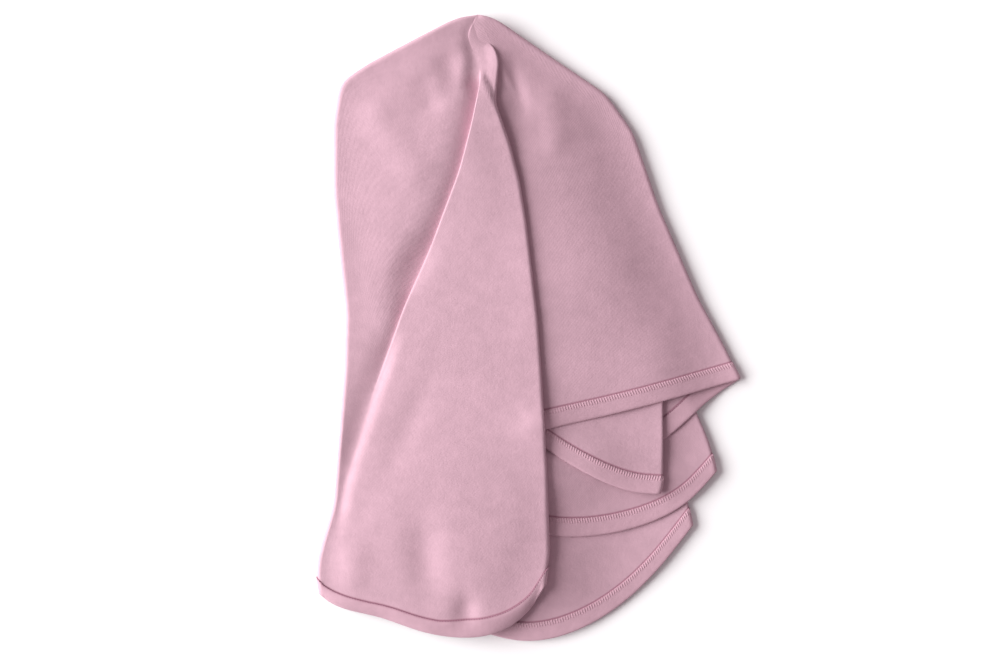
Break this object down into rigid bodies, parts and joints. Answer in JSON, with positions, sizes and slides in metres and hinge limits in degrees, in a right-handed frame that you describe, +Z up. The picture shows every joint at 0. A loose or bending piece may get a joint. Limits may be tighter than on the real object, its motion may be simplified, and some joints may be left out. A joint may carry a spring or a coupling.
{
  "type": "baby wrap blanket",
  "caption": "Soft knit baby wrap blanket with rounded corners and a bound, coverstitched edge, picked up near its centre and laid down in loose fan folds.",
  "frame": {"origin": "on the surface that the blanket lies on, under the centre of its box", "axes": "+Y up the pile from the hems to the peak, +X to the right seen from above, +Z up from the surface through the leaves"},
  "size_m": [0.3998, 0.5915, 0.0408],
  "materials": {
    "knit": "matt brushed interlock knit, dusty pink",
    "binding": "matt knit, dusty pink, folded and sewn round the edge",
    "thread": "soft overlock thread, dusty pink"
  },
  "bodies": {
    "root": {"knit_panel": "knit", "edge_binding": "binding", "looper_thread": "thread", "needle_thread": "thread"}
  },
  "joints": []
}
